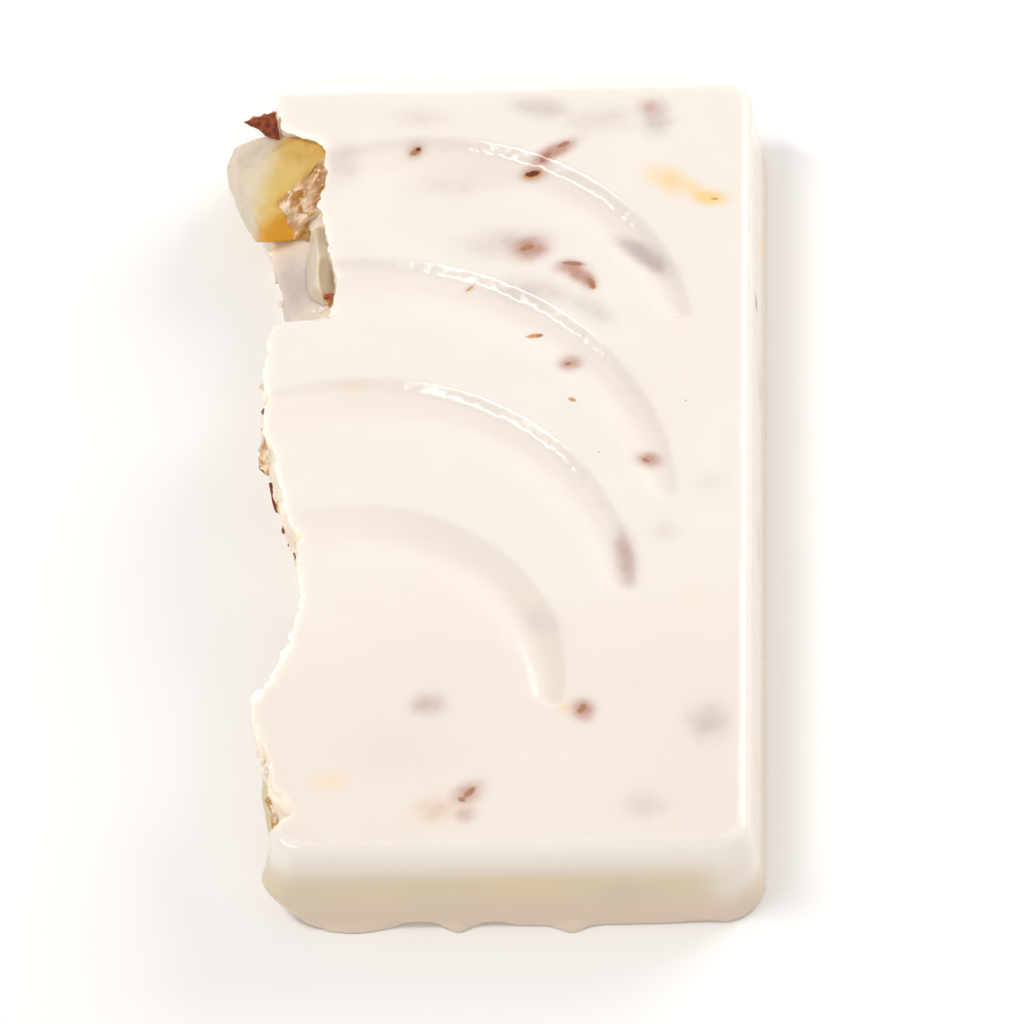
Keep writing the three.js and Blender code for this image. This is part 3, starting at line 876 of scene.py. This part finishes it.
# almonds in the break, with the flats that chopping left: normal, distance as a share, finish
# husk is how much skin is left, crease the amber along the torn face, and a wash is a colour
# that comes in gradually between two places
almonds = {
    "almond_chunk": {
        "piece": "almondChunk",
        "centre": (-20.8, 32.6, 5.1),
        "halfAxes": (4.9, 6.5, 4.1),
        "fullness": 4.2,
        "turn": 14,
        "voxel": 0.12,
        "crease": 0.8,
        "tear": ((0.83, 0.56, 0), -0.54),  # way and place at which the torn face ends
        "flats": [
            ((-0.22, -0.32, 0.92), 0.6, "pale"),
            ((-0.9, 0.33, 0.29), 0.84, "pale"),
            ((0.12, -0.81, 0.57), 0.635, "torn"),
            ((-0.97, -0.2, 0.1), 0.7, "pale"),
            ((-0.17, -0.88, -0.44), 0.7, "pale"),
            ((0.24, 0.97, 0.06), 0.85, "pale"),
            ((-0.35, 0.6, 0.72), 0.76, "pale"),
            ((-0.7, -0.1, -0.7), 0.86, "cut"),
        ],
        "washes": [
            ("golden", (-23.6, 34.0, 7.0), (-20.2, 32.8, 8.0)),
            ("amber", (-23.2, 29.6, 6.4), (-21.2, 27.2, 5.6)),
        ],
    },
    "almond_sliver": {
        "piece": "almondSliver",
        "centre": (-17.2, 23.6, 6.1),
        "halfAxes": (1.6, 3.9, 2.9),
        "turn": 4,
        "voxel": 0.11,
        "flats": [
            ((-1, 0.1, 0.5), 0.6, "pale"),
            ((0.6, -0.6, 0.7), 0.7, "pale"),
            ((0.4, 0.3, 1), 0.78, "pale"),
            ((-0.4, -0.9, -0.1), 0.8, "pale"),
        ],
        "washes": [("torn", (-17.2, 21.6, 8.0), (-15.9, 19.4, 8.0))],
    },
    "almond_side": {
        "piece": "almondSide",
        "centre": (-20.8, 6.6, 5.2),
        "halfAxes": (1.8, 3.7, 3.0),
        "turn": -3,
        "voxel": 0.12,
        "husk": 0.2,
        "flats": [
            ((-1, 0.1, 0.15), 0.56, "cut"),
            ((-0.3, 0.9, 0.5), 0.7, "torn"),
            ((-0.1, -0.5, -1), 0.66, "cut"),
            ((0, -0.8, 0.7), 0.8, "torn"),
        ],
    },
    "almond_half": {
        "piece": "almondHalf",
        "centre": (-16.9, -14.2, 4.7),
        "halfAxes": (2.2, 5.9, 3.5),
        "turn": 4,
        "voxel": 0.13,
        "husk": 0.0,
        "flats": [
            ((-1, 0.05, 0.1), 0.5, "cut"),
            ((-0.2, -0.5, -1), 0.62, "cut"),
            ((-0.1, -1, 0.35), 0.72, "torn"),
            ((0, 0.9, 0.5), 0.76, "cut"),
        ],
    },
    "almond_corner": {
        "piece": "almondCorner",
        "centre": (-19.3, -31, 5.2),
        "halfAxes": (1.8, 3.9, 2.7),
        "turn": 9,
        "voxel": 0.12,
        "husk": -0.3,
        "flats": [
            ((-1, -0.1, 0.2), 0.7, "cut"),
            ((-0.1, 1, -0.3), 0.66, "cut"),
            ((-0.3, -0.6, 1), 0.72, "torn"),
            ((0, -0.7, -0.7), 0.74, "cut"),
        ],
    },
}


def turnAboutUp(points, degrees):
    a = math.radians(degrees)
    x, y, z = points.T
    return np.stack([x * math.cos(a) - y * math.sin(a), x * math.sin(a) + y * math.cos(a), z], axis=1)


def cutAway(flat, distance):  # all that lies past a plane at that distance
    bpy.ops.mesh.select_all(action="SELECT")
    bpy.ops.mesh.bisect(plane_co=flat * distance, plane_no=flat, use_fill=True, clear_outer=True)


def voxelSkin(piece, voxel, rounding):  # even small faces, with the edges eased
    makeActive(piece)
    bpy.ops.object.modifier_add(type="REMESH")
    remesh = piece.modifiers[-1]
    remesh.mode = "VOXEL"
    remesh.voxel_size = voxel
    bpy.ops.object.modifier_apply(modifier=remesh.name)
    bpy.ops.object.modifier_add(type="SMOOTH")
    ease = piece.modifiers[-1]
    ease.factor = 0.5
    ease.iterations = rounding
    bpy.ops.object.modifier_apply(modifier=ease.name)


def buildAlmond(nut, seed):
    deselectAll()
    centre = np.array(nut["centre"])
    axes = np.array(nut["halfAxes"])
    bpy.ops.mesh.primitive_ico_sphere_add(subdivisions=5, radius=1)
    piece = nameIt(nut["piece"])
    ball = readPoints(piece)
    power = nut.get("fullness", 2.0)  # 2 is a ball, more fills its corners
    writePoints(piece, ball / (np.abs(ball) ** power).sum(axis=1)[:, None] ** (1 / power))
    bpy.ops.object.mode_set(mode="EDIT")
    for normal, distance, finish in nut["flats"]:  # the chopping cuts
        cutAway(Vector(normal).normalized(), distance)
    bpy.ops.object.mode_set(mode="OBJECT")
    writePoints(piece, readPoints(piece) * axes)
    voxelSkin(piece, nut["voxel"], 3)
    points = readPoints(piece)
    normals = readNormals(piece)
    masks = {name: np.zeros(len(points)) for name in ("golden", "amber", "torn", "skinned", "cut")}
    ball = points / axes
    rim = np.zeros(len(points))
    chopped = np.zeros(len(points))
    for normal, distance, finish in nut["flats"]:
        flat = np.array(normal) / np.linalg.norm(normal)
        above = ball @ flat
        near = smooth((above - distance + 0.09) / 0.07)
        frayed = smooth((above - distance + 0.16) / 0.14)
        across = np.linalg.norm(ball - above[:, None] * flat, axis=1) / math.sqrt(1 - distance ** 2)
        if finish == "cut":
            rim = np.maximum(rim, near * smooth((across - 0.78) / 0.12))
        chopped = np.maximum(chopped, near)
        if finish in masks:
            masks[finish] = np.maximum(masks[finish], frayed if finish == "torn" else near)
    if "tear" in nut:
        way, end = nut["tear"]
        ragged = 0.12 * softNoise(points, 1.2, seed + 29)
        masks["torn"] *= smooth((ball @ np.array(way) - end + ragged) / 0.14)
    if "husk" in nut:  # skin is left on part of the round side
        husk = smooth(softNoise(points, 2.5, seed + 17) * 4 + 4 * nut["husk"])
        masks["skinned"] = (1 - chopped) * husk
    rough = 0.09 * softNoise(points, 2.2, seed) + 0.03 * softNoise(points, 0.8, seed + 3)
    grainWay = turnAboutUp(points, -42) * [0.4, 1, 1]  # the tear runs slantwise
    flakes = 0.5 * (ridges(grainWay, 1.1, seed + 5) - 0.4)
    flakes += 0.26 * (ridges(grainWay, 0.5, seed + 7) - 0.4)
    streak = ridges(grainWay, 0.9, seed + 21) * 0.6 + softNoise(grainWay, 0.45, seed + 23) * 0.6
    rough = rough + masks["torn"] * flakes - 0.1 * masks["torn"]
    crease = 4 * masks["torn"] * (1 - masks["torn"]) * nut.get("crease", 0)
    rough = rough + masks["cut"] * 0.06 * (ridges(points, 1.5, seed + 11) - 0.5)
    rough = rough + 0.05 * (ridges(points * [1, 0.25, 1], 0.9, seed + 13) - 0.5) * (1 - masks["torn"])
    points = turnAboutUp(points + normals * rough[:, None], nut["turn"]) + centre
    writePoints(piece, toFrame(points))
    for name, start, end in nut.get("washes", []):
        way = np.array(end) - start
        masks[name] = np.maximum(masks[name], smooth((points - start) @ way / (way @ way)))
    masks["amber"] = np.maximum(masks["amber"], crease * smooth((32 - points[:, 1]) / 3))
    masks["rim"] = rim
    masks["streak"] = streak
    for name, values in masks.items():
        paint(piece, name, values)
    makeActive(piece)
    bpy.ops.object.shade_smooth()
    return piece


almondFinish = {
    "ivory": tint(234, 222, 202),
    "ivoryDeep": tint(220, 204, 176),
    "golden": tint(216, 168, 74),
    "goldenPale": tint(222, 188, 106),
    "amber": tint(222, 156, 36),
    "torn": tint(198, 152, 110),
    "tornPale": tint(244, 224, 198),
    "tornGold": tint(188, 138, 66),
    "tornDark": tint(134, 72, 22),
    "cut": tint(222, 206, 166),
    "rim": tint(242, 232, 212),
    "skin": tint(138, 66, 22),
    "gloss": 0.4,
    "scatter": 0.7,  # mm
}


def buildAlmondMaterial():
    look = almondFinish
    material, tree, shader = newMaterial("choppedAlmond")
    coarse, fine = addGrain(tree, 3.4, 0.3)
    flake, micro = addGrain(tree, 0.8, 0.12, 5.0)
    paintedGlint, pit = addGrain(tree, 0.45, 1.6, 2.0)
    colour = addMix(tree, addRange(tree, coarse, 0.35, 0.65), look["ivoryDeep"], look["ivory"])
    broad, narrow = addGrain(tree, 1.3, 0.6, 2.0)
    colour = addPatch(tree, colour, "cut", look["cut"], narrow, 0.5, 0.3, 0.4)
    golden = addMix(tree, addRange(tree, coarse, 0.4, 0.6), look["golden"], look["goldenPale"])
    colour = addPatch(tree, colour, "golden", golden, broad, 0.5, 0.5, 0.5)
    colour = addPatch(tree, colour, "amber", look["amber"], broad, 0.5, 0.45, 0.6)
    colour = addPatch(tree, colour, "rim", look["rim"], narrow, 0.5, 0.4, 0.4)
    flake = addMaths(tree, "MULTIPLY", flake, 0.8)
    streak = addMaths(tree, "ADD", readPaint(tree, "streak"), flake)
    torn = addMix(tree, addRange(tree, streak, 0.45, 1.0), look["torn"], look["tornPale"])
    torn = addMix(tree, addRange(tree, pit, 0.5, 0.58), torn, look["tornGold"])
    # painted highlights: pale glint specks on the torn face
    torn = addMix(tree, addRange(tree, paintedGlint, 0.6, 0.68), torn, look["tornPale"])
    torn = addMix(tree, addRange(tree, streak, 0.12, -0.2), torn, look["tornDark"])
    colour = addPatch(tree, colour, "torn", torn, narrow, 0.5, 0.2, 0.9)
    colour = addPatch(tree, colour, "skinned", look["skin"], narrow, 0.6, 0.15, 0.9)
    tree.links.new(colour, shader.inputs["Base Color"])
    rough = addSpread(tree, fine, look["gloss"] - 0.08, look["gloss"] + 0.15)
    tree.links.new(rough, shader.inputs["Roughness"])
    shader.inputs["IOR"].default_value = 1.45
    setScatter(shader, 0.7, (1.0, 0.6, 0.25), look["scatter"])
    height = addMaths(tree, "ADD", fine, addMaths(tree, "MULTIPLY", micro, 0.4))
    addBump(tree, shader, height, 0.08, 0.8)
    return material


choppedAlmond = buildAlmondMaterial()
for number, (node, nut) in enumerate(almonds.items()):
    nutPiece = buildAlmond(nut, 40 + 3 * number)
    hand(nutPiece, choppedAlmond, "almond", node)
    print(nut["piece"], len(nutPiece.data.polygons), "faces")

# the flake of skin behind the chunk
skinFlake = {
    "outline": [(-1.55, 0.4), (-0.4, -0.3), (0.65, -1.1), (1.5, -1.25), (1.2, 1.2), (-0.6, 0.75)],
    "thick": 0.5,
    "centre": (-22.55, 37.45, 8.5),
    "lean": 54,
    "voxel": 0.07,
}


def buildSkinFlake():
    deselectAll()
    outline = skinFlake["outline"]
    bpy.ops.mesh.primitive_circle_add(vertices=len(outline), radius=1, fill_type="NGON")
    piece = nameIt("skinFlake")
    writePoints(piece, np.array([(x, y, -skinFlake["thick"] / 2) for x, y in outline]))
    bpy.ops.object.mode_set(mode="EDIT")
    bpy.ops.mesh.select_all(action="SELECT")
    bpy.ops.mesh.extrude_region_move(TRANSFORM_OT_translate={"value": (0, 0, skinFlake["thick"])})
    bpy.ops.object.mode_set(mode="OBJECT")
    turnOutwards(piece)
    voxelSkin(piece, skinFlake["voxel"], 2)
    points = readPoints(piece)
    normals = readNormals(piece)
    wrinkles = 0.1 * (ridges(points * [1, 1.8, 1], 0.9, 61) - 0.4)
    wrinkles += 0.06 * (ridges(points, 0.4, 63) - 0.4)
    edge = smooth((0.75 - np.abs(normals[:, 2])) / 0.3)
    points = points + normals * wrinkles[:, None]
    points[:, 2] += 0.08 * points[:, 0] ** 2  # curled
    lean = Matrix.Rotation(math.radians(skinFlake["lean"]), 3, "X")
    points = points @ np.array(lean).T
    writePoints(piece, toFrame(points + skinFlake["centre"]))
    paint(piece, "edge", edge)
    makeActive(piece)
    bpy.ops.object.shade_smooth()
    return piece


skinFinish = {
    "dark": tint(104, 34, 6),
    "brown": tint(162, 72, 24),
    "edge": tint(222, 128, 64),
    "gloss": 0.38,
}


def buildSkinMaterial():
    look = skinFinish
    material, tree, shader = newMaterial("almondSkinBrown")
    coarse, fine = addGrain(tree, 0.5, 0.16, 4.0)
    colour = addMix(tree, addRange(tree, coarse, 0.38, 0.62), look["dark"], look["brown"])
    colour = addPatch(tree, colour, "edge", look["edge"], coarse, 0.5, 0.4, 0.5)
    tree.links.new(colour, shader.inputs["Base Color"])
    rough = addSpread(tree, fine, look["gloss"] - 0.1, look["gloss"] + 0.2)
    tree.links.new(rough, shader.inputs["Roughness"])
    addBump(tree, shader, fine, 0.1, 0.9)
    return material


almondSkinBrown = buildSkinMaterial()
skinFlakePiece = buildSkinFlake()
hand(skinFlakePiece, almondSkinBrown, "almond_skin", "almond_skin")
print("skin flake:", len(skinFlakePiece.data.polygons), "faces")

# smaller bits held in the break, one joined piece of each kind
breakBits = {
    "almond": {"piece": "almondBits", "count": 16, "size": (0.6, 2.2), "thin": 0.7,
               "sunk": 0.85, "flat": 0.8, "highest": 8.9, "seed": 7},
    "skin": {"piece": "skinBits", "count": 12, "size": (0.5, 1.3), "thin": 0.3,
             "sunk": 0.42, "flat": 0.34, "highest": 6.4, "seed": 19},
    "crumb": {"piece": "chocolateCrumbs", "count": 60, "size": (0.14, 0.42), "thin": 1.0,
              "sunk": 0.35, "flat": 0.8, "highest": 8.9, "seed": 33},
}
bitLimits = {
    "ends": (-35.5, 40),  # bits lie from y to y
    "lowest": 0.9,
    "bottom": 0.2,  # no part of a bit is below this, or above the top
    "top": 9.3,
    "apart": 0.8,  # share of two bits' half sizes
    "tries": 2000,
    "models": 4,
    "cuts": 7,
    "cutAt": (0.5, 0.75),
    "voxel": 0.11,
    "ledgeMargin": 2.4,  # the ledge in the notch stays clean this far past its near end
    "ledgeLow": 3,
}
# placed bits, the white crumbs and the scrap of skin at the notch's near end: x, y, z, half size
notchBits = {
    "crumb": [(-17.0, 17.1, 8.9, 0.34), (-16.6, 17.6, 8.6, 0.26), (-17.6, 16.7, 9.2, 0.22)],
    "skin": [(-16.4, 18.7, 8.6, 1.1)],
}


def breakSurface(y, z):  # where the break is at a height, found along its rows
    t = np.linspace(0, 1, 600)
    x, rowY = breakPlace(t, np.full_like(t, z), np.full_like(t, bar["draft"] * z))
    return float(np.interp(y, rowY, x))


def clearPlace(y, z, size):  # away from the almonds and from the smooth ledge in the notch
    low, high = breakLook["ledge"]
    low = low - bitLimits["ledgeMargin"]
    if z > bitLimits["ledgeLow"] and low - size < y < high + size:
        return False
    for nut in almonds.values():
        dy = (y - nut["centre"][1]) / (nut["halfAxes"][1] + size)
        dz = (z - nut["centre"][2]) / (nut["halfAxes"][2] + size)
        if dy * dy + dz * dz < 1:
            return False
    return True


def buildBitModel(name, seed):  # one chopped bit, to be copied
    deselectAll()
    rng = random.Random(seed)
    bpy.ops.mesh.primitive_ico_sphere_add(subdivisions=2, radius=1)
    piece = nameIt(name)
    bpy.ops.object.mode_set(mode="EDIT")
    for cut in range(bitLimits["cuts"]):
        flat = Vector((rng.uniform(-1, 1), rng.uniform(-1, 1), rng.uniform(-1, 1))).normalized()
        if cut == 0:
            flat = Vector((-1, 0, 0))
        cutAway(flat, rng.uniform(*bitLimits["cutAt"]))
    bpy.ops.object.mode_set(mode="OBJECT")
    voxelSkin(piece, bitLimits["voxel"], 1)
    points = readPoints(piece)
    rough = 0.08 * softNoise(points, 0.9, seed) + 0.05 * softNoise(points, 0.4, seed + 1)
    writePoints(piece, points + readNormals(piece) * rough[:, None])
    return piece


def scatterBits(kind):
    look = breakBits[kind]
    thin = look["thin"]
    rng = random.Random(look["seed"])
    models = [buildBitModel("model%d" % i, look["seed"] + i) for i in range(bitLimits["models"])]
    made = []
    tries = 0
    while len(made) < look["count"] and tries < bitLimits["tries"]:
        tries += 1
        y = rng.uniform(*bitLimits["ends"])
        z = rng.uniform(bitLimits["lowest"], look["highest"])
        size = mix(*look["size"], rng.random() ** 1.6)
        if not clearPlace(y, z, 0.6 * size):
            continue
        if z + size > bitLimits["top"] or z - size < bitLimits["bottom"]:
            continue
        apart = bitLimits["apart"]
        if any(math.hypot(y - other[1], z - other[2]) < apart * (size + other[3]) for other in made):
            continue
        made.append((breakSurface(y, z) + (look["sunk"] - 0.5) * size * thin, y, z, size))
    placed = notchBits.get(kind, [])
    copies = []
    for i, (x, y, z, size) in enumerate(placed + made):
        model = models[i % len(models)]
        copy = model.copy()
        copy.data = model.data.copy()
        bpy.context.collection.objects.link(copy)
        thick = max(thin, 0.6) if i < len(placed) else thin
        shares = [thick, rng.uniform(0.8, 1.4), look["flat"] * rng.uniform(0.8, 1.2)]
        spin = Matrix.Rotation(rng.uniform(0, math.tau), 3, "X")
        spin = spin @ Matrix.Rotation(rng.uniform(-0.3, 0.3), 3, "Z")
        points = readPoints(copy) * shares * size @ np.array(spin).T
        writePoints(copy, toFrame(points + [x, y, z]))
        copies.append(copy)
    deselectAll()
    for copy in copies:
        copy.select_set(True)
    bpy.context.view_layer.objects.active = copies[0]
    bpy.ops.object.join()
    piece = nameIt(look["piece"])
    for model in models:
        bpy.data.objects.remove(model)
    makeActive(piece)
    bpy.ops.object.shade_smooth_by_angle(angle=math.radians(50))
    return piece


def buildCrumbMaterial():  # too small for light to run below the surface
    material, tree, shader = newMaterial("whiteCrumb")
    coarse, fine = addGrain(tree, 1.2, 0.2)
    colour = addMix(tree, coarse, chocolateFinish["fresh"], chocolateFinish["freshPale"])
    tree.links.new(colour, shader.inputs["Base Color"])
    addBump(tree, shader, fine, 0.05, 0.8)
    shader.inputs["Roughness"].default_value = 0.5
    return material


almondBits = scatterBits("almond")
bitPoints = toBar(readPoints(almondBits))
paint(almondBits, "golden", smooth(softNoise(bitPoints, 5, 71) * 2))
paint(almondBits, "cut", smooth(softNoise(bitPoints, 4, 75) * 2 + 0.5))
paint(almondBits, "torn", smooth(softNoise(bitPoints, 4, 79) * 2 - 0.4))
hand(almondBits, choppedAlmond, "almond")
skinBits = scatterBits("skin")
hand(skinBits, almondSkinBrown, "almond_skin")
chocolateCrumbs = scatterBits("crumb")
hand(chocolateCrumbs, buildCrumbMaterial(), "white_chocolate")
for bits in (almondBits, skinBits, chocolateCrumbs):
    print(bits.name, len(bits.data.polygons), "faces")

# floor, light and camera
studio = {
    "floor": tint(252, 251, 250),
    "world": (1.0, 0.99, 0.98, 1.0),
    "worldStrength": 0.54,
    # name, place in m, width and height in m, roll in degrees, watts, colour
    "lamps": [
        ("overhead", (-0.4, -0.06, 0.82), 0.52, 0.11, 40, 3.0, (1.0, 0.99, 0.975)),
        ("window", (0.62, 0.58, 0.42), 0.6, 0.6, 0, 4.0, (1.0, 0.99, 0.97)),
        ("front", (0.1, -0.9, 0.5), 0.8, 0.8, 0, 1.2, (1.0, 0.98, 0.95)),
    ],
}


def buildStudio():
    deselectAll()
    bpy.ops.mesh.primitive_plane_add(size=6)
    floor = nameIt("paleFloor")
    material, tree, shader = newMaterial("paleFloor")
    shader.inputs["Base Color"].default_value = studio["floor"]
    shader.inputs["Roughness"].default_value = 0.9
    floor.data.materials.append(material)
    world = bpy.data.worlds.new("softRoom")
    world.use_nodes = True
    glow = world.node_tree.nodes["Background"]
    glow.inputs["Color"].default_value = studio["world"]
    glow.inputs["Strength"].default_value = studio["worldStrength"]
    bpy.context.scene.world = world
    for name, place, width, height, roll, power, colour in studio["lamps"]:
        bpy.ops.object.light_add(type="AREA", location=place)
        lamp = bpy.context.object
        lamp.name = name
        lamp.data.shape = "ELLIPSE"
        lamp.data.size = width
        lamp.data.size_y = height
        lamp.data.energy = power
        lamp.data.color = colour
        aim = (-Vector(place)).to_track_quat("-Z", "Y").to_matrix()
        lamp.rotation_euler = (aim @ Matrix.Rotation(math.radians(roll), 3, "Z")).to_euler()


camera = {
    "place": (46.5, -582.7, 771.3),  # mm from the bar's zero
    "look": (-0.0493, 0.6039, -0.7962),
    "up": (0.01984, 0.78555, 0.61848),
    "lens": 409,
}


def buildCamera():
    bpy.ops.object.camera_add()
    eye = bpy.context.object
    eye.name = "photoView"
    back = -Vector(camera["look"]).normalized()
    right = Vector(camera["up"]).cross(back).normalized()
    turn = Matrix((right, back.cross(right), back)).transposed()
    eye.matrix_world = Matrix.Translation(Vector(toFrame(np.array(camera["place"])))) @ turn.to_4x4()
    eye.data.lens = camera["lens"]
    eye.data.sensor_width = 36
    eye.data.clip_end = 20
    bpy.context.scene.camera = eye


buildStudio()
buildCamera()
bpy.context.scene.view_settings.view_transform = "Standard"
print("studio ready")
